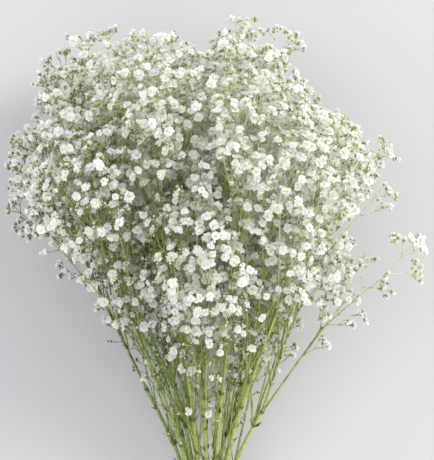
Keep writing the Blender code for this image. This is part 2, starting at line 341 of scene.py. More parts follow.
# finer growth than the solids hold: every cluster's own floret stays, and forked side twigs grow below it
spray = {
    "pedicelRadius": 0.22 * mm,
    "thinning": 0.82,  # a twig's radius goes with its share of the clusters, to this power
    "forkBack": (9 * mm, 13 * mm),  # how far below a cluster's own floret its side twigs leave
    "secondFork": 25 * mm,  # a cluster's twig this long forks a second time, lower down
    "sideLength": 8.4 * mm,
    "sideAngle": (0.5, 0.95),
    "open": (2.6 * mm, 4.5 * mm),  # radii of florets and buds
    "halfOpen": (1.8 * mm, 2.8 * mm),
    "bud": (0.8 * mm, 1.4 * mm),
    "oftenSmall": 1.4,  # above 1 there are more small florets than large ones
    "crowding": 0.56,  # florets may be as near as this share of their radii's sum
    "outward": 0.5,  # how far florets turn out of the cloud, over the way of their own stalks
    "scatter": 0.3,
    "cloudMiddle": (-10 * mm, 120 * mm, 90 * mm),
    "sparseBelow": 62 * mm,  # florets get fewer from here down to where the cloud ends
    "sparsest": 0.8,
    "missing": 0.5,  # how many of those aren't there, where the rest stay buds
    "footBelow": (0.5, 0.75, 1.15),  # where each kind's own stalk ends, in radii below its middle
    "sparse": ((-62, 88, 150), (46, 50, 60), 0.5),  # a thinner place in mm: middle, half size, share left out
    "pair": 0.92,  # how often each of a fork's two side twigs is there
    "shorter": 0.72,  # each further fork's twigs, as a share of the last ones' length
    "lastLevel": 2,
}
kinds = ("open", "halfOpen", "bud")
halfOpen, bud = 1, 2  # places in kinds
askew = (0.31, 0.17, 0.93)  # a direction that nothing grows along

# thin side twigs that leave low nodes and reach into whatever room the heads still have
fill = {
    "twigs": 10,  # of each stem
    "outliers": {  # more twigs that end at these places, in mm: the loose edge of the cloud
        6: ((-100, 254, 98), (-121, 243, 92), (-134, 226, 96), (-84, 260, 104), (-112, 228, 110)),
        9: ((127, 146, 105),),
    },
    "radius": 0.7 * mm,
    "reach": (35 * mm, 165 * mm),
    "lowestNode": -95 * mm,  # how far down the bunch they may start
    "tries": 90,  # places looked at for each, of which the emptiest is taken
    "lean": (0.86, 0.985),  # a twig leaves its node at an angle with its cosine between these
    "leanCost": (150 * mm, 40 * mm),  # what less and more than that costs, as a difference in reach
    "wide": 0.14,  # how far a twig bows out
    "secondFork": 35 * mm,  # twigs from this long fork twice, and from the next, three times
    "thirdFork": 70 * mm,
    "wires": 9,  # of each stem: thin twigs that end below the cloud, mostly in buds
    "wiresFrom": 9,  # of the lowest nodes
    "wireReach": (35 * mm, 105 * mm),
    "wireAngle": (0.15, 0.45),
    "wireRadius": (0.3, 0.5),  # in mm
    "wireSpread": 0.4,  # how far to the side wires end, for each unit of their distance from the waist
    "longWire": 50 * mm,  # from here a wire has a fork on the way too
}


# where florets already are, in a grid of cells as wide as the largest, so that new ones find room
class Room:
    def __init__(self, cell):
        self.cell, self.cells = cell, {}

    # the cell that a place is in
    def key(self, place):
        return tuple(np.floor(place / self.cell).astype(int))

    # nothing already there is nearer than the crowding allows
    def isFree(self, place, radius):
        x, y, z = self.key(place)
        near = [(x + i, y + j, z + k) for i in (-1, 0, 1) for j in (-1, 0, 1) for k in (-1, 0, 1)]
        for key in near:
            for other, otherRadius in self.cells.get(key, ()):
                if lengthOf(other - place) < spray["crowding"] * (radius + otherRadius):
                    return False
        return True

    def take(self, place, radius):
        self.cells.setdefault(self.key(place), []).append((place, radius))


# a direction turned away from another by an angle, towards a bearing round it
def turned(way, angle, bearing):
    side = unit(np.cross(way, askew))
    out = np.cos(bearing) * side + np.sin(bearing) * np.cross(way, side)
    return np.cos(angle) * way + np.sin(angle) * out


# a floret's place, moved in where its petals would stand proud of the solids' box
def keptInBox(place, radius):
    return place.clip(lowest + 1.2 * radius, highest - 1.2 * radius)


# what one stem grows: curves of three sorts as (a, b, c, radius at a, radius at c, flare at a),
# florets as (place, facing, radius, kind), and nodes as (place, way, radius, bearing)
class Growth:
    def __init__(self, room, draw):
        self.room, self.draw = room, draw
        self.curves = {"thick": [], "thin": [], "pedicel": []}
        self.florets, self.nodes = [], []

    # a node as a plain joint, where scale leaves grow
    def node(self, place, way, radius):
        self.nodes.append((place, way, radius, self.draw.uniform(0, np.pi)))

    # along the floret's stalk, turned some way out of the cloud, less so up and down it, and scattered
    def facing(self, place, way):
        out = unit(place - np.array(spray["cloudMiddle"])) * (1, 0.6, 1)
        return unit(way + spray["outward"] * out + spray["scatter"] * self.draw.normal(size=3))

    # the share of florets that stay buds or aren't there
    def thinness(self, place):
        middle, half, share = spray["sparse"]
        inside = (((place / mm - middle) / half) ** 2).sum() < 1
        low = (spray["sparseBelow"] - place[1]) / spray["sparseBelow"]
        return max(share if inside else 0, min(max(low, 0), spray["sparsest"]))

    # a radius between the kind's least and most
    def size(self, kind):
        low, high = spray[kinds[kind]]
        return low + (high - low) * self.draw.random() ** spray["oftenSmall"]

    # a floret on a stalk of its own, of a kind by the odds: without room it stays a bud, or isn't there
    def floret(self, node, way, reach, odds):
        draw = self.draw
        thin = draw.random() < self.thinness(node)
        if thin and draw.random() < spray["missing"]:
            return False
        kind = bud if thin else draw.choice(3, p=odds)
        radius = self.size(kind)
        place = keptInBox(node + way * reach, radius)
        if not self.room.isFree(place, radius):
            kind, radius = bud, self.size(bud)
            place = keptInBox(node + way * reach * 0.7, radius)
            if not self.room.isFree(place, radius):
                return False
        self.room.take(place, radius)
        facing = self.facing(place, way)
        foot = place - facing * radius * spray["footBelow"][kind]
        bend = (node + foot) / 2 + 0.12 * (node + way * reach - foot)
        wire = spray["pedicelRadius"]
        self.curves["pedicel"].append((node, bend, foot, wire * 1.1, wire * 0.85, 0.0))
        self.florets.append((place, facing, radius, kind))
        return True

    # a side twig that forks: its own floret in the middle and a pair of shorter side twigs, then florets alone
    def side(self, node, way, bearing, size, level):
        draw = self.draw
        out = turned(way, draw.uniform(*spray["sideAngle"]), bearing)
        if level == spray["lastLevel"]:
            return self.floret(node, out, size * draw.uniform(0.75, 1.15), (0.44, 0.28, 0.28))
        reach = size * draw.uniform(0.8, 1.2)
        end = node + reach * out
        end[2] = max(end[2], 1 * mm)
        onward = unit(out + 0.45 * way)
        radius = spray["pedicelRadius"] * 1.25
        grown = self.floret(end, onward, size * draw.uniform(0.5, 0.8), (0.7, 0.16, 0.14))
        across = bearing + np.pi / 2 + draw.uniform(-0.5, 0.5)
        for turn in (0, np.pi):
            if draw.random() < spray["pair"]:
                grown = self.side(end, onward, across + turn, size * spray["shorter"], level + 1) or grown
        if grown:
            bend = node + 0.5 * reach * unit(out + 0.2 * way)
            self.curves["thin"].append((node, bend, end, radius * 1.15, radius, 0.0))
            self.nodes.append((end, onward, radius, across))
        return grown

    # side twigs in a pair at one fork
    def fork(self, node, way, size, radius, level=1):
        bearing = self.draw.uniform(0, 2 * np.pi)
        for turn in (0, np.pi):
            self.side(node, way, bearing + turn + self.draw.uniform(-0.3, 0.3), size, level)
        self.nodes.append((node, way, radius, bearing))

    # a twig with a floret at its end, and forks at some ways back from it
    def cluster(self, a, b, c, r0, r1, flare, backs):
        draw, length = self.draw, lengthOf(c - a)
        kind = bud if draw.random() < 0.7 * self.thinness(c) else 0
        radius, way = self.size(kind), unit(c - b)
        c = keptInBox(c, radius)
        self.room.take(c, radius)
        facing = self.facing(c, way)
        self.florets.append((c, facing, radius, kind))
        self.curves["thick"].append((a, b, c - facing * radius * 0.5, r0, r1, flare))
        for back, size in backs:
            t = 1 - min(back / length, 0.9)
            self.fork(pointOn(a, b, c, t), way, size, r0 + (r1 - r0) * t, level=0)


# a twig is as thick as its share of the clusters, to a power, and no thinner than a wire
def twigRadius(twig):
    share = len(twig.carried) / bunch["clusters"]
    return max(stalk["atFork"] * bunch["forkRadius"] * share ** spray["thinning"], 0.3 * mm)


# the twigs that the solids have, each starting as thick as the twig that it forks from
def growLiving(stem, kept, growth):
    draw = growth.draw
    for twig in stem["twigs"][1:]:
        if not kept & set(twig.carried):
            continue
        radius, parent = twigRadius(twig), twigRadius(twig.parent)
        straight = unit(twig.end - twig.start) @ twig.heading > 0.93  # it goes on as its parent did
        flare = (1.15 if straight else 0.9) * parent - radius
        a, b, c, length = twig.start, bendOf(twig), twig.end, lengthOf(twig.end - twig.start)
        if len(twig.carried) == 1:
            backs = [(draw.uniform(*spray["forkBack"]), spray["sideLength"])]
            if length > spray["secondFork"]:
                backs.append((draw.uniform(0.62, 0.8) * length, spray["sideLength"] * 1.15))
            growth.cluster(a, b, c, radius, spray["pedicelRadius"] * 1.3, max(flare, 0), backs)
            continue
        growth.curves["thick"].append((a, b, c, radius * 1.04, radius * 0.96, max(flare, 0)))
        growth.node(c, unit(c - b), radius)
        if length > 34 * mm:
            node = pointOn(a, b, c, draw.uniform(0.45, 0.75))
            growth.fork(node, unit(c - b), spray["sideLength"] * 1.25, radius, level=0)


# places on a stem that more twigs can leave from: (place, way, radius), on its stalk and its thicker twigs
def nodesOf(stem, kept):
    path = stalkPath(stem, 16, 18)
    way = unit(np.gradient(path, axis=0))
    found = [(path[k], way[k], bunch["forkRadius"])
             for k in range(0, len(path), 3) if path[k, 1] > fill["lowestNode"]]
    for twig in stem["twigs"][1:]:
        if len(twig.carried) > 3 and kept & set(twig.carried):
            for t in (0.35, 0.7, 1.0):
                place = pointOn(twig.start, bendOf(twig), twig.end, t)
                found.append((place, unit(twig.end - bendOf(twig)), twigRadius(twig)))
    return found


# a stem's further twigs, each to the emptiest of some random places in its head, from whichever node suits it:
# the best differs least from the reach that is wanted, and leans least from its own way
def growFill(stem, kept, growth, taken):
    draw, head = growth.draw, heads[stem["number"]]
    middle, half = np.array(head[:3]) * mm, np.array(head[3:]) * mm
    (least, power), tries = bunch["headFill"], fill["tries"]
    nodes = nodesOf(stem, kept)
    outliers = [np.array(place) * mm for place in fill["outliers"].get(stem["number"], ())]
    for _ in range(fill["twigs"] + len(outliers)):
        spread = unit(draw.normal(size=(tries, 3))) * draw.uniform(least, 1.0, (tries, 1)) ** power
        places = middle + half * spread
        places[:, 2] = places[:, 2].clip(bunch["lowestCluster"])
        space = lengthOf(places[:, None] - np.array(taken)).min(1)
        end = outliers.pop() if outliers else places[np.argmax(space)]
        wanted, best = draw.uniform(*fill["reach"]), None
        for place, way, radius in nodes:
            reach = lengthOf(end - place)
            lean = unit(end - place) @ way
            tooWide, tooStraight = max(0, fill["lean"][0] - lean), max(0, lean - fill["lean"][1])
            cost = abs(reach - wanted) + fill["leanCost"][0] * tooWide + fill["leanCost"][1] * tooStraight
            if best is None or cost < best[0]:
                best = (cost, place, way, radius, reach)
        _, place, way, radius, reach = best
        taken.append(end)
        chord = end - place
        bend = place + chord / 2 + fill["wide"] * (chord - way * (chord @ way))
        backs = [(draw.uniform(*spray["forkBack"]), spray["sideLength"])]
        if reach > fill["secondFork"]:
            backs.append((draw.uniform(24, 32) * mm, spray["sideLength"] * 1.2))
        if reach > fill["thirdFork"]:
            backs.append((draw.uniform(0.5, 0.62) * reach, spray["sideLength"] * 1.1))
        thick = min(fill["radius"] * (0.6 + reach / (200 * mm)), 0.8 * radius)
        growth.cluster(place, bend, end, thick, spray["pedicelRadius"] * 1.3, 0.5 * thick, backs)
        growth.node(place, way, radius)
    growWires(growth, nodes)


# a stem's wires: from low nodes, turned from their way by a small angle, with forks and a floret at the end
def growWires(growth, nodes):
    draw = growth.draw
    for _ in range(fill["wires"]):
        end = np.array((1.0, 0, 0))
        while abs(end[0] - bunch["bundleX"]) > fill["wireSpread"] * (end[1] - waistY):
            place, way, radius = nodes[draw.integers(fill["wiresFrom"])]
            reach = draw.uniform(*fill["wireReach"])
            way = unit(way + (0, 0.15, 0))
            end = place + reach * turned(way, draw.uniform(*fill["wireAngle"]), draw.uniform(0, 2 * np.pi))
        end[2] = max(end[2], 3 * mm)
        bend = (place + end) / 2 - 0.08 * (end - place - reach * way)
        thick = draw.uniform(*fill["wireRadius"]) * mm
        growth.curves["thick"].append((place, bend, end, thick, 0.28 * mm, 0.8 * thick))
        growth.node(place, way, radius)
        onward = unit(end - bend)
        growth.fork(end, onward, spray["sideLength"] * 0.8, 0.3 * mm, level=1)
        growth.floret(end, onward, 6 * mm, (0.4, 0.3, 0.3))
        if reach > fill["longWire"]:
            node = pointOn(place, bend, end, draw.uniform(0.55, 0.75))
            growth.fork(node, onward, spray["sideLength"], 0.35 * mm, level=1)


# the fine green parts
sprig = {
    "swellingLength": 1.4 * mm,
    "flareLength": 2.6 * mm,  # over which a twig narrows from its parent's thickness
    # twigs of each sort: sides, places of the rings in mm from the start and from the end, how much thicker the
    # end is, how dark both ends are, and how much paler the painted light makes them towards the lit upper
    # right
    "thick": (6, (0, 1.3, 3.5), (10, 3, 1.2, 0), 0.5, 0.7, 0.8),
    "thin": (3, (0, 3), (0,), 0.0, 0.25, 1.05),
    "pedicel": (3, (0,), (0,), 0.0, 0.25, 1.05),
    # the calyx of each kind of floret: width and depth at a floret radius of 1, and its rings' shares of both
    "open": (0.34, 0.55, (1.0, 0.0), (0.35, 1.0)),
    "halfOpen": (0.5, 0.85, (1.0, 0.6, 0.0), (0.3, 0.9, 1.0)),
    "bud": (1.05, 1.3, (1.0, 0.55, -0.25), (0.35, 0.95, 0.92)),
    "calyxSides": 4,
}


# ring by ring along many curves at once: middle + radius * (cos * side + sin * up), both ends closed.
# The radius runs evenly from one end to the other, plus a flare at the start and a swelling at the end.
def tubeRings(curves, starts, ends, sides, swelling):
    a, b, c = (np.array([curve[k] for curve in curves]) for k in range(3))
    r0, r1, flare = (np.array([curve[k] for curve in curves])[:, None] for k in (3, 4, 5))
    length = lengthOf(c - a)[:, None]
    count = len(starts) + len(ends)
    even = np.linspace(0, 1, count)
    t = np.concatenate([np.minimum(starts / length, even[: len(starts)]),
                        1 - np.minimum(ends / length, 1 - even[len(starts):])], 1)
    middle = curvePoints(a, b, c, t)
    way = unit(2 * (1 - t)[..., None] * (b - a)[:, None] + 2 * t[..., None] * (c - b)[:, None])
    lean = np.where(np.abs((c - a)[:, :1]) < 0.7 * length, (1.0, 0, 0), (0, 0, 1.0))[:, None]
    side = unit(lean - way * (way * lean).sum(-1, keepdims=True))
    up = np.cross(way, side)
    nearEnd = np.exp(-(((1 - t) * length / sprig["swellingLength"]) ** 2))
    nearStart = np.exp(-((t * length / sprig["flareLength"]) ** 1.5))
    radius = r0 + (r1 - r0) * t + flare * nearStart + swelling * r1 * nearEnd
    turns = np.arange(sides) * 2 * np.pi / sides
    rings = np.cos(turns)[:, None] * side[:, :, None] + np.sin(turns)[:, None] * up[:, :, None]
    points = middle[:, :, None] + radius[..., None, None] * rings
    return points, np.repeat(np.maximum(nearEnd, nearStart).ravel(), sides)


# faces of a grid of rings, one grid for each curve: quads round every ring, and a flat face at each end
def tubeFaces(count, rings, sides, ends=True):
    index = np.arange(count * rings * sides).reshape(count, rings, sides)
    here, there = index[:, :-1], index[:, 1:]
    quads = np.stack([here, np.roll(here, -1, 2), np.roll(there, -1, 2), there], -1)
    faces = [quads.reshape(-1, 4)]
    return faces + [index[:, 0, ::-1], index[:, -1]] if ends else faces


# some data as an object in the scene
def addThing(name, data):
    thing = bpy.data.objects.new(name, data)
    bpy.context.scene.collection.objects.link(thing)
    return thing


# gathers points, faces and values from many shapes, and makes them into one mesh
class Sheaf:
    def __init__(self):
        self.points, self.faces, self.values, self.count = [], [], {}, 0

    # each value is one number, or one for every point
    def add(self, points, faces, **values):
        points = points.reshape(-1, 3)
        for group in faces:
            self.faces.append(group + self.count)
        for name, value in values.items():
            self.values.setdefault(name, []).append(np.broadcast_to(value, len(points)).astype(np.float32))
        self.points.append(points)
        self.count += len(points)

    def triangles(self):
        return sum(len(group) * (group.shape[1] - 2) for group in self.faces)

    # the mesh as a piece that stands for a stem of the solids
    def piece(self, name, material, slot, stemNode):
        mesh = bpy.data.meshes.new(name)
        points = np.concatenate(self.points).astype(np.float32)
        points = points.clip(lowest.astype(np.float32), highest.astype(np.float32))
        sizes = np.concatenate([np.full(len(group), group.shape[1]) for group in self.faces])
        corners = np.concatenate([group.ravel() for group in self.faces])
        mesh.vertices.add(len(points))
        mesh.vertices.foreach_set("co", points.ravel())
        mesh.loops.add(len(corners))
        mesh.loops.foreach_set("vertex_index", corners.astype(np.int32))
        mesh.polygons.add(len(sizes))
        mesh.polygons.foreach_set("loop_start", (np.cumsum(sizes) - sizes).astype(np.int32))
        mesh.update(calc_edges=True)
        mesh.shade_smooth()
        for key, value in self.values.items():
            mesh.attributes.new(key, "FLOAT", "POINT").data.foreach_set("value", np.concatenate(value))
        mesh.materials.append(material)
        thing = addThing(name, mesh)
        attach(thing, "root")
        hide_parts(stemNode)


stalk = {
    "sides": 12,
    "atButt": 0.9,  # its radius at its cut end and at its first fork, as shares of the solid's there
    "atFork": 0.74,
    "swelling": 0.35,  # how much thicker it is at a node
    "nodeLength": 1.8 * mm,
    "nodesApart": (34 * mm, 62 * mm),
    "lowestNode": 30 * mm,  # above the cut end
    "sway": 0.9 * mm,  # how far a stalk zigzags at its nodes
    "paintedLitFrom": (-25 * mm, 40 * mm),  # painted light: stalks painted from olive in shade at the left to pale yellow green where lit at the right
    "paintedLightWay": (0.6, 0.8, 0.0),  # painted light: the way towards the lamp in which twigs and calyxes are painted paler, and where along it
    "paintedLightFrom": (40 * mm, 160 * mm),
    "leaf": (1.2 * mm, 6.5 * mm),  # the pair of scale leaves at each node, from the thinnest twig to the stalk
}


# axes across many directions at once, turned to the bearings
def framesOf(ways, bearings):
    lean = np.where(np.abs(ways[:, :1]) < 0.7, (1.0, 0, 0), (0, 0, 1.0))
    side = unit(np.cross(ways, lean))
    other = np.cross(ways, side)
    cos, sin = np.cos(bearings)[:, None], np.sin(bearings)[:, None]
    return cos * side + sin * other, cos * other - sin * side


# two scale leaves at each node: two rows and a tip, their middle line a curve that leans further out
def scaleLeaves(nodes, draw):
    place, way, radius, bearing = (np.array([node[k] for node in nodes]) for k in range(4))
    place, way, radius = np.tile(place, (2, 1)), np.tile(way, (2, 1)), np.tile(radius, 2)
    bearing = np.concatenate([bearing, bearing + np.pi]) + draw.uniform(-0.4, 0.4, len(radius))
    out, across = framesOf(way, bearing)
    size = np.interp(radius, (0.3 * mm, 1.9 * mm), stalk["leaf"]) * draw.uniform(0.75, 1.2, len(radius))
    lean = draw.uniform(0.25, 0.7, len(radius))
    rows = np.array((0, 0.45, 1.0))
    angle = lean[:, None] * (0.4 + rows)
    steps = np.diff(rows, prepend=0)
    along = np.cumsum(steps * np.cos(angle), 1)[..., None] * way[:, None]
    wide = np.cumsum(steps * np.sin(angle), 1)[..., None] * out[:, None]
    middle = (place + out * radius[:, None] * 0.85)[:, None] + size[:, None, None] * (along + wide)
    half = (np.array((0.1, 0.15)) * size[:, None])[..., None] * across[:, None]
    points = np.concatenate([middle[:, :2] - half, middle[:, :2] + half, middle[:, 2:]], 1)
    first = np.arange(len(points))[:, None] * 5
    return points, [first + (0, 2, 3, 1), first + (1, 3, 4)]


# a stalk, ring by ring along its path, which it zigzags round with a turn at each of its nodes, where it is
# thicker too: radius * (1 + swelling * exp(-(distance / node length)^2))
def stalkRings(stem, growth):
    path = stalkPath(stem, 30, 24)
    way = unit(np.gradient(path, axis=0))
    side = unit(np.array((1.0, 0, 0)) - way * way[:, :1])
    up = np.cross(way, side)
    run = np.concatenate([[0], np.cumsum(lengthOf(np.diff(path, axis=0)))])
    nodes, at = [], run[-1]
    while at > stalk["lowestNode"]:
        nodes.append(at)
        at -= growth.draw.uniform(*stalk["nodesApart"])
    extra = np.concatenate([np.array(nodes) + d * mm for d in (-3.5, -1.5, 0, 1.5, 3.5)])  # more rings at nodes
    runs = np.sort(np.concatenate([run, extra[(extra > 0) & (extra < run[-1])]]))
    parts = (path, side, up, way)
    path, side, up, way = (np.stack([np.interp(runs, run, part[:, k]) for k in range(3)], 1) for part in parts)
    near = np.exp(-((np.abs(runs[:, None] - np.array(nodes)).min(1) / stalk["nodeLength"]) ** 2))
    ends = (stalk["atButt"] * bunch["stalkRadius"], stalk["atFork"] * bunch["forkRadius"])
    radius = np.interp(runs / runs[-1], (0, 1), ends) * (1 + stalk["swelling"] * near)
    knots, turn = np.array(nodes[::-1]), growth.draw.uniform(0, 2 * np.pi)
    zigzag = np.where(np.arange(len(knots) - 1) % 2, 1.0, -1.0)
    sway = stalk["sway"] * np.interp(runs, knots[:-1], zigzag, 0, 0)
    path = path + sway[:, None] * (np.cos(turn) * side + 0.5 * np.sin(turn) * up)
    turns = np.arange(stalk["sides"]) * 2 * np.pi / stalk["sides"]
    rings = np.cos(turns)[:, None] * side[:, None] + np.sin(turns)[:, None] * up[:, None]
    for node in nodes[1:]:
        k = np.argmin(np.abs(runs - node))
        growth.node(path[k], unit(way[k]), radius[k])
    return (path[:, None] + radius[:, None, None] * rings)[None], np.repeat(near, stalk["sides"])


# a bell of rings below each floret, closed on top: place - drop * facing + width * (cos * side + sin * other)
def calyxes(place, facing, radius, bearing, wide, deep, drops, widths):
    side, other = framesOf(facing, bearing)
    turns = np.arange(sprig["calyxSides"]) * 2 * np.pi / sprig["calyxSides"]
    turns = np.cos(turns)[:, None] * side[:, None] + np.sin(turns)[:, None] * other[:, None]
    middle = place[:, None] - (deep * radius[:, None] * drops)[..., None] * facing[:, None]
    return middle[:, :, None] + (wide * radius[:, None] * widths)[..., None, None] * turns[:, None]


# painted light: how much paler twigs and calyxes are painted, from 0 to 1 along one way, towards the lit far
# right and the top
def paintedLightShare(places):
    near, far = stalk["paintedLightFrom"]
    return ((places @ np.array(stalk["paintedLightWay"]) - near) / (far - near)).clip(0, 1)


# a stem's greens: its stalk with a pith disc on its cut end, its twigs, scale leaves and calyxes
def greensOf(stem, growth, draw):
    sheaf, around = Sheaf(), np.arange(stalk["sides"])
    rings, near = stalkRings(stem, growth)
    # painted light: each stalk's tone rises with x, paler where lit at the right, darker olive where shaded at
    # the left
    lit = np.interp(rings[0, ..., 0].ravel(), stalk["paintedLitFrom"], (0, 0.8))
    tone = lit + draw.uniform(-0.1, 0.35)
    sheaf.add(rings, tubeFaces(1, rings.shape[1], len(around)), tone=tone, knuckle=near * 0.9)
    rim = rings[0, 0]
    disc = np.vstack([rim, rim.mean(0)]) - (0, 0.02 * mm, 0)
    pith = np.stack([around, np.full(len(around), len(around)), np.roll(around, -1)], 1)
    sheaf.add(disc, [pith], tone=np.append(np.full(len(around), 1.0), 1.6), knuckle=0.0)
    for sort, curves in growth.curves.items():
        sides, starts, ends, swelling, dark, paintedLightAmount = sprig[sort]
        points, near = tubeRings(curves, np.array(starts) * mm, np.array(ends) * mm, sides, swelling)
        tone = np.interp([curve[3] for curve in curves], (0.3 * mm, 1.4 * mm), (0.5, 0.0))  # thin ones paler
        # painted light: twigs painted paler the further right they end and darker at the left, as the light
        # falls
        tone += np.interp([curve[2][0] for curve in curves], (-60 * mm, 60 * mm), (-0.25, 0.2))
        tone = np.repeat(tone + draw.uniform(-0.2, 0.2, len(tone)), points.shape[1] * sides)
        # painted light: twigs painted paler, and their dark ends lighter, towards the lit upper right
        paintedLight = paintedLightShare(points.reshape(-1, 3))
        faces = tubeFaces(len(points), points.shape[1], sides)
        sheaf.add(points, faces, tone=tone + paintedLightAmount * paintedLight, knuckle=near * dark * (1 - 0.7 * paintedLight))
    points, faces = scaleLeaves(growth.nodes, draw)
    sheaf.add(points, faces, tone=0.1, knuckle=0.75)
    place, facing, radius, kind = (np.array(part) for part in zip(*growth.florets))
    bearing = draw.uniform(0, 2 * np.pi, len(place))
    for number, sort in enumerate(kinds):
        which = (kind == number) & (growth.cover < petals["hidden"])
        if which.any():
            points = calyxes(place[which], facing[which], radius[which], bearing[which], *sprig[sort])
            # painted light: calyxes painted paler, and less dark, towards the lit upper right
            paintedLight, each = paintedLightShare(place[which]), points.shape[1] * points.shape[2]
            tone = np.repeat(draw.uniform(0.0, 0.6, which.sum()) + 0.5 * paintedLight, each)
            dark = np.repeat(draw.uniform(0.3, 0.7, which.sum()) * (1 - 0.6 * paintedLight), each)
            sheaf.add(points, tubeFaces(*points.shape[:3]), tone=tone, knuckle=dark)
    return sheaf


petals = {
    "hidden": 5,  # florets with at least this many in front of them on every side have a simple shape
    "column": 12 * mm,  # in front means in the same square column of this width
    "large": 3.6 * mm,  # florets of at least this radius have notched petals
    "designs": 8,  # different shapes of each sort
    "uneven": 0.25,  # how unevenly petals stand round a floret, as a share of the space between two
    "slopes": 0.24,  # how far their slopes differ, either way
    "ruffle": 0.17,
    "notch": (0.05, 0.12, 0.05),  # how far the three points of a tip stand back, as shares of the length
}

# rings of petals at a floret radius of 1, from spread outside to upright inside: how many, rows and columns of
# points, length, width, slope at the foot, how far it lessens (the innermost close), distance of the foot
petalRings = {
    "large": (
        (7, 3, 3, 0.93, 0.86, 0.16, 0.4, 0.1),
        (6, 3, 3, 0.82, 0.74, 0.85, 0.8, 0.12),
        (4, 3, 2, 0.8, 0.62, 1.35, -0.9, 0.2),
    ),
    "small": (
        (6, 3, 2, 0.95, 0.86, 0.2, 0.4, 0.1),
        (5, 3, 2, 0.84, 0.76, 0.85, 0.8, 0.12),
        (3, 3, 2, 0.8, 0.66, 1.3, -0.9, 0.2),
    ),
    "halfOpen": ((5, 3, 2, 1.15, 0.85, 1.0, 0.3, 0.1), (3, 3, 2, 1.0, 0.66, 1.2, -0.7, 0.14)),
    "inside": ((6, 2, 2, 0.95, 0.9, 0.25, 0.1, 0.15), (4, 2, 2, 0.85, 0.8, 0.9, 0.2, 0.1)),
}


# petals round a floret: grids of rows from the narrow foot to the ruffled tip, notched where they are finest.
# A row's distance and height grow by its step times cos and sin of a slope that lessens by the curl.
def petalGrid(count, rows, columns, length, width, slope, curl, foot, draw):
    uneven, slopes, ruffle = petals["uneven"], petals["slopes"], petals["ruffle"]
    turn = (np.arange(count) + draw.uniform(-uneven, uneven, count)) * 2 * np.pi / count + draw.uniform(0, 6)
    size = length * draw.uniform(0.78, 1.1, count)
    rise = slope + draw.uniform(-slopes, slopes, count)
    share = np.linspace(0, 1, rows)
    angle = rise[:, None] - curl * (share[1:] + share[:-1]) / 2
    step = size[:, None] / (rows - 1)
    footUp = foot * 0.6
    along = np.hstack([np.full((count, 1), foot), foot + np.cumsum(step * np.cos(angle), 1)])[:, :, None]
    up = np.hstack([np.full((count, 1), footUp), footUp + np.cumsum(step * np.sin(angle), 1)])[:, :, None]
    wide = np.interp(share, (0, 0.5, 1), (0.2 if rows == 3 else 0.5, 0.86, 1.0))[:, None] * width / 2
    across = np.linspace(-1, 1, columns) * wide
    ruffle = draw.uniform(-ruffle, ruffle, (count, rows, columns)) * share[:, None]
    notch = np.zeros((rows, columns))
    if columns == 3:
        notch[-1] = np.array(petals["notch"]) * length
    along, up = along - notch + 0 * across, up + ruffle - 0.5 * notch + 0.08 * np.abs(across)
    cos, sin = np.cos(turn)[:, None, None], np.sin(turn)[:, None, None]
    points = np.stack([along * cos - across * sin, along * sin + across * cos, up], -1)
    heart = np.broadcast_to(((1 - share) ** 1.3)[:, None], (count, rows, columns))
    index = np.arange(count * rows * columns).reshape(count, rows, columns)
    quads = np.stack([index[:, :-1, :-1], index[:, 1:, :-1], index[:, 1:, 1:], index[:, :-1, 1:]], -1)
    return points.reshape(-1, 3), heart.ravel(), quads.reshape(-1, 4)


# a floret's shape: the points, each one's share of the heart's tint, and the faces of all its rings of petals
def floretShape(sort, draw):
    points, hearts, quads, count = [], [], [], 0
    for ring in petalRings[sort]:
        spots, heart, faces = petalGrid(*ring, draw)
        points.append(spots)
        hearts.append(heart)
        quads.append(faces + count)
        count += len(spots)
    return np.vstack(points), np.concatenate(hearts), [np.vstack(quads)]


# a bud's shape at a radius of 1: three rings and a tip, a dome of closed petals
def budShape():
    turns = np.arange(4) * np.pi / 2
    rings = [np.stack([w * np.cos(turns), w * np.sin(turns), np.full(4, h)], 1)
             for w, h in ((0.6, -0.3), (0.85, 0.3), (0.55, 0.9))]
    tip = np.stack([np.arange(8, 12), np.roll(np.arange(8, 12), -1), np.full(4, 12)], 1)
    points, heart = np.vstack([*rings, [(0, 0, 1.2)]]), np.repeat((1.0, 1.0, 0.7, 0.45), (4, 4, 4, 1))
    return points, heart, [tubeFaces(1, 3, 4, ends=False)[0], tip]


# how many florets stand in front of each, at the least, of all ways to look: for each way the florets
# are sorted into square columns along it, and counted from the near end of their column
def leastCover(places, cell):
    least = np.full(len(places), len(places))
    ways = np.array([(x, y, z) for x in (-1, 0, 1) for y in (-1, 0, 1) for z in (-1, 0, 1) if x or y or z])
    for way in unit(ways.astype(float)):
        side = unit(np.cross(way, askew))
        column = np.floor(np.stack([places @ side, places @ np.cross(way, side)]) / cell).astype(int)
        key, rank = column[0] * 10000 + column[1], np.arange(len(places))
        order = np.lexsort((-(places @ way), key))
        isFirst = np.append(True, np.diff(key[order]) != 0)
        first = np.maximum.accumulate(np.where(isFirst, rank, 0))
        least[order] = np.minimum(least[order], rank - first)
    return least


# shapes at their places, turned so that their height runs the way that the floret faces, and squashed a little
def placed(shape, place, facing, radius, bearing, squash):
    side, other = framesOf(facing, bearing)
    turn = np.stack([side * squash, other / squash, facing], 1) * radius[:, None, None]
    return place[:, None] + shape @ turn


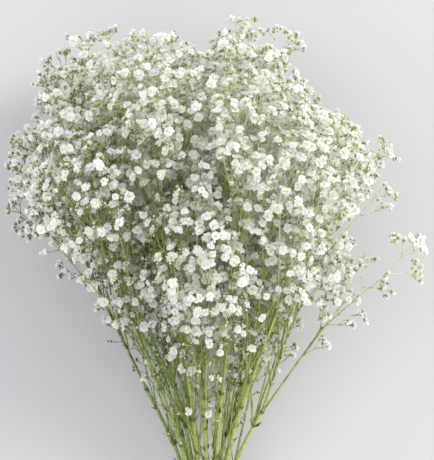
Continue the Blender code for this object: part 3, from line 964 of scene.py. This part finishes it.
# a stem's florets and buds: copies of a few shapes of each sort, all as one array a shape
def petalsOf(growth, draw):
    sheaf = Sheaf()
    place, facing, radius, kind = (np.array(part) for part in zip(*growth.florets))
    bearing, age = draw.uniform(0, 2 * np.pi, len(place)), draw.uniform(0, 1, len(place))
    design = draw.integers(0, petals["designs"], len(place))
    isSort = [kind == bud, growth.cover >= petals["hidden"], kind == halfOpen, radius >= petals["large"]]
    sort = np.select(isSort, ["bud", "inside", "halfOpen", "large"], "small")
    for name, shapes in shapesOfSort.items():
        for number, (shape, heart, faces) in enumerate(shapes):
            which = (sort == name) & (design % len(shapes) == number)
            if which.any():
                squash = draw.uniform(0.86, 1.0, (which.sum(), 1))
                points = placed(shape, place[which], facing[which], radius[which], bearing[which], squash)
                first = np.arange(which.sum())[:, None, None] * len(shape)
                copies = [(group + first).reshape(-1, group.shape[1]) for group in faces]
                ages = np.repeat(age[which], len(shape))
                sheaf.add(points, copies, heart=np.tile(heart, which.sum()), age=ages)
    return sheaf


# sRGB hex to linear
def colour(code):
    parts = [int(code[i : i + 2], 16) / 255 for i in (1, 3, 5)]
    return (*[p / 12.92 if p <= 0.04045 else ((p + 0.055) / 1.055) ** 2.4 for p in parts], 1.0)


# adds a shader node with its settings, input values and links; a link is any socket
def addNode(tree, kind, settings=None, inputs=None):
    made = tree.nodes.new("ShaderNode" + kind)
    for key, value in (settings or {}).items():
        setattr(made, key, value)
    for key, value in (inputs or {}).items():
        if isinstance(value, bpy.types.NodeSocket):
            tree.links.new(value, made.inputs[key])
        else:
            made.inputs[key].default_value = value
    return made


# a material with no nodes yet, and its node tree
def emptyMaterial(name):
    material = bpy.data.materials.new(name)
    material.use_nodes = True
    material.node_tree.nodes.clear()
    return material, material.node_tree


# thin fresh petals, grown crinkled: matt, nearly white, some light through them, faintly green at the foot
petalLook = {
    "petal": "#FCFCFA",
    "older": "#EBE9DD",
    "heart": "#DDE5C4",
    "crinkle": 0.9 * mm,  # the real creases are 0.3 mm apart, too fine to show
    "through": 0.36,  # share of the light that goes through
    "agedFrom": 0.55,  # florets past this age turn to the older white, by at most this share
    "aged": 0.8,
    "heartPower": 2.4,  # above 1 the heart's tint keeps nearer to the foot
}


# white, creamier with age, with the heart's tint at the foot, on a crinkled skin that lets light through
def petalMaterial():
    look = petalLook
    material, tree = emptyMaterial("double gypsophila petal")
    marks = ("heart", "age")
    heart, age = (addNode(tree, "Attribute", {"attribute_name": name}).outputs["Fac"] for name in marks)
    spot = addNode(tree, "TexCoord").outputs["Object"]
    crinkle = {"Scale": 1 / look["crinkle"], "Detail": 3.0, "Vector": spot}
    crinkle = addNode(tree, "TexNoise", None, crinkle).outputs[0]
    older = {0: age, 1: look["agedFrom"], 2: 1.0, 3: 0.0, 4: look["aged"]}
    older = addNode(tree, "MapRange", None, older).outputs[0]
    mix, body = {"data_type": "RGBA"}, {0: older, 6: colour(look["petal"]), 7: colour(look["older"])}
    body = addNode(tree, "Mix", mix, body).outputs[2]
    deep = addNode(tree, "Math", {"operation": "POWER"}, {0: heart, 1: look["heartPower"]}).outputs[0]
    skin = addNode(tree, "Mix", mix, {0: deep, 6: body, 7: colour(look["heart"])}).outputs[2]
    bump = {"Strength": 0.35, "Distance": 0.3 * mm, "Height": crinkle}
    bump = addNode(tree, "Bump", None, bump).outputs[0]
    surface = {"Roughness": 0.62, "IOR": 1.4, "Specular IOR Level": 0.3, "Base Color": skin, "Normal": bump}
    surface = addNode(tree, "BsdfPrincipled", None, surface).outputs[0]
    through = addNode(tree, "BsdfTranslucent", None, {"Color": skin, "Normal": bump}).outputs[0]
    both = addNode(tree, "MixShader", None, {0: look["through"], 1: surface, 2: through}).outputs[0]
    addNode(tree, "OutputMaterial", None, {"Surface": both})
    return material


# fresh green stalk: waxy skin with fine lengthwise fibres, paler twigs, darker nodes and a cream cut end
stalkLook = {
    "stalk": "#687B1B",
    "twig": "#B2C163",
    "light": "#DEE59C",
    "node": "#2F3A0E",
    "pith": "#E6E7C0",
    "fibre": 0.45 * mm,  # drawn about four times as coarse as the real fibres, to show
    "fibreLength": 14 * mm,
    "blotch": 8 * mm,
}


# olive to yellow green by the tone, which holds each part's own colour and painted light, paler to the right
# and the top, with pale fibres, dark blotches and nodes, and the pith where tone passes 1
def stalkMaterial():
    look = stalkLook
    material, tree = emptyMaterial("gypsophila stalk")
    marks = ("tone", "knuckle")
    tone, knuckle = (addNode(tree, "Attribute", {"attribute_name": name}).outputs["Fac"] for name in marks)
    spot = addNode(tree, "TexCoord").outputs["Object"]
    stretch = (1 / look["fibre"], 1 / look["fibreLength"], 1 / look["fibre"])
    along = addNode(tree, "Mapping", None, {"Scale": stretch, "Vector": spot}).outputs[0]
    fibre = addNode(tree, "TexNoise", None, {"Scale": 1.0, "Detail": 2.0, "Vector": along}).outputs[0]
    blotch = addNode(tree, "TexNoise", None, {"Scale": 1 / look["blotch"], "Vector": spot}).outputs[0]
    mix = {"data_type": "RGBA"}
    skin = {0: tone, 6: colour(look["stalk"]), 7: colour(look["twig"])}
    skin = addNode(tree, "Mix", mix, skin).outputs[2]
    for pattern, low, high, most, tint in (  # the tint grows from low to high, and covers this much at the most
        (fibre, 0.45, 0.7, 0.75, "light"),
        (blotch, 0.5, 0.72, 0.6, "node"),
        (knuckle, 0.0, 1.0, 0.9, "node"),
        (tone, 1.05, 1.5, 1.0, "pith"),
    ):
        share = addNode(tree, "MapRange", None, {0: pattern, 1: low, 2: high, 3: 0.0, 4: most}).outputs[0]
        skin = addNode(tree, "Mix", mix, {0: share, 6: skin, 7: colour(look[tint])}).outputs[2]
    bump = addNode(tree, "Bump", None, {"Strength": 0.35, "Distance": 0.2 * mm, "Height": fibre}).outputs[0]
    surface = {"Roughness": 0.38, "IOR": 1.45, "Base Color": skin, "Normal": bump}
    surface = addNode(tree, "BsdfPrincipled", None, surface).outputs[0]
    addNode(tree, "OutputMaterial", None, {"Surface": surface})
    return material


studio = {
    "floorSize": 12.0,
    "floorDull": "#C5C4C5",
    "floorPale": "#CAC9CA",
    "world": "#F3F4F7",
    "worldStrength": 1.12,
    "lampsAim": (0, 0.1, 0.09),
    "cameraHeight": 1.15,  # above the middle of the bunch's depth
    "middleDepth": 100 * mm,
    "film": 36,
    "lookAt": (0.4 * mm, 111.6 * mm),
    "pictureHeight": 460 * 0.76 * mm,  # what the picture's height covers at the middle of the depth
    "lamps": (  # place, size, power and tint of each
        ((2.4, 1.2, 1.5), 1.8, 66, "#FFFDF9"),
        ((-1.2, 0.3, 1.5), 1.2, 5, "#F5F8FF"),
    ),
}


# painted board, rolled on matt, so that it looks even and only a little cloudy
def floorMaterial():
    material, tree = emptyMaterial("matt painted board")
    spot = addNode(tree, "TexCoord").outputs["Object"]
    cloud = addNode(tree, "TexNoise", None, {"Scale": 3.0, "Detail": 2.0, "Vector": spot}).outputs[0]
    skin = {0: cloud, 6: colour(studio["floorDull"]), 7: colour(studio["floorPale"])}
    skin = addNode(tree, "Mix", {"data_type": "RGBA"}, skin).outputs[2]
    surface = addNode(tree, "BsdfPrincipled", None, {"Roughness": 0.9, "Base Color": skin}).outputs[0]
    addNode(tree, "OutputMaterial", None, {"Surface": surface})
    return material


# a flat square at the height of the table
def buildFloor():
    half = studio["floorSize"] / 2
    mesh = bpy.data.meshes.new("floor")
    corners = [(-half, -half, 0), (half, -half, 0), (half, half, 0), (-half, half, 0)]
    mesh.from_pydata(corners, [], [(0, 1, 2, 3)])
    mesh.materials.append(floorMaterial())
    addThing("floor", mesh)


# an area lamp at a place, turned to the middle of the bunch
def addLamp(place, size, power, tint):
    light = bpy.data.lights.new("lamp", "AREA")
    light.shape, light.size, light.energy, light.color = "DISK", size, power, colour(tint)[:3]
    lamp = addThing("lamp", light)
    lamp.location = place
    lamp.rotation_euler = (Vector(studio["lampsAim"]) - Vector(place)).to_track_quat("-Z", "Y").to_euler()


# the floor, an even bright surround, the lamps, and a camera that looks straight down on the bunch
def buildStudio():
    buildFloor()
    world = bpy.data.worlds.new("soft daylight")
    world.use_nodes = True
    surround = world.node_tree.nodes["Background"].inputs
    surround[0].default_value, surround[1].default_value = colour(studio["world"]), studio["worldStrength"]
    bpy.context.scene.world = world
    for lamp in studio["lamps"]:
        addLamp(*lamp)
    bpy.context.scene.view_settings.view_transform = "Standard"
    view = bpy.data.cameras.new("camera")
    view.sensor_width = studio["film"]
    view.lens = studio["film"] * studio["cameraHeight"] / studio["pictureHeight"]
    camera = addThing("camera", view)
    camera.location = (*studio["lookAt"], studio["middleDepth"] + studio["cameraHeight"])
    bpy.context.scene.camera = camera


stems = growStems()
kept = {stem["number"]: set(range(bunch["clusters"])) for stem in stems}
clearCrossings(stems, kept)
print("forks grown, clusters kept:", sum(len(k) for k in kept.values()))

shapeDraw = np.random.default_rng([bunch["seed"], 300])
shapesOfSort = {sort: [floretShape(sort, shapeDraw) for _ in range(petals["designs"])] for sort in petalRings}
shapesOfSort["bud"] = [budShape()]
room, growths = Room(2 * spray["open"][1]), {}
taken = [twig.end for stem in stems for twig in stem["twigs"]
         if len(twig.carried) == 1 and kept[stem["number"]] & set(twig.carried)]
for stem in stems:
    growth = Growth(room, np.random.default_rng([bunch["seed"], 200 + stem["number"]]))
    growLiving(stem, kept[stem["number"]], growth)
    growths[stem["number"]] = growth
for stem in stems:
    growFill(stem, kept[stem["number"]], growths[stem["number"]], taken)
everyPlace = np.array([floret[0] for growth in growths.values() for floret in growth.florets])
cover = leastCover(everyPlace, petals["column"])
print("florets and buds:", len(everyPlace), "of which inside:", (cover >= petals["hidden"]).sum())
for growth in growths.values():
    growth.cover, cover = cover[: len(growth.florets)], cover[len(growth.florets):]

petal, green = petalMaterial(), stalkMaterial()
triangles = 0
for stem in stems:
    growth, label = growths[stem["number"]], f"{stem['number'] + 1:02d}"
    draw = np.random.default_rng([bunch["seed"], 400 + stem["number"]])
    greens, florets = greensOf(stem, growth, draw), petalsOf(growth, draw)
    greens.piece(f"greens_{label}", green, "stem_green", f"stem_{label}")
    florets.piece(f"florets_{label}", petal, "petal_white", f"stem_{label}")
    triangles += greens.triangles() + florets.triangles()
print("stems dressed, triangles:", triangles)

buildStudio()
print("studio lit, camera set")
